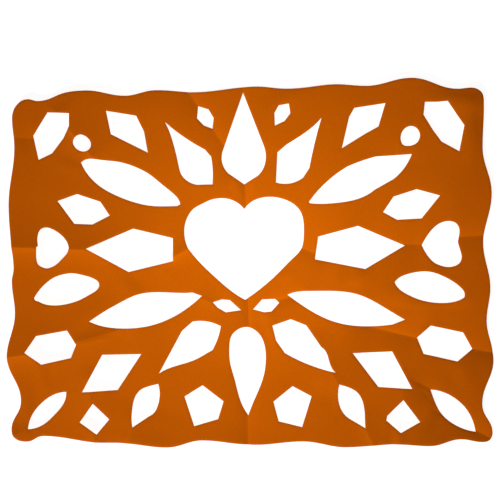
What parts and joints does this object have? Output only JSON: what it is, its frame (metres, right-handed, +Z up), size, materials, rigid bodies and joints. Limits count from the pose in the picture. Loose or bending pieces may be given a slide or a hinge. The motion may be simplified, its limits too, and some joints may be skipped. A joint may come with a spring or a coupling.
{
  "type": "papel picado sheet",
  "caption": "Flat sheet of coloured craft paper with a wavy trimmed edge and a folded, hand-cut pattern of hearts, leaves and facets, opened out and lying flat with soft fold creases.",
  "frame": {"origin": "under the middle of the sheet's outline, level with the surface it lies on", "axes": "+X along the longer side, to the right as the heart stands upright; +Y towards the top edge; +Z up, out of the sheet's front face"},
  "size_m": [0.3, 0.225, 0.0022],
  "materials": {
    "coloured_paper": "matt, uncoated"
  },
  "bodies": {
    "root": {"paper_sheet": "coloured_paper"}
  },
  "joints": []
}
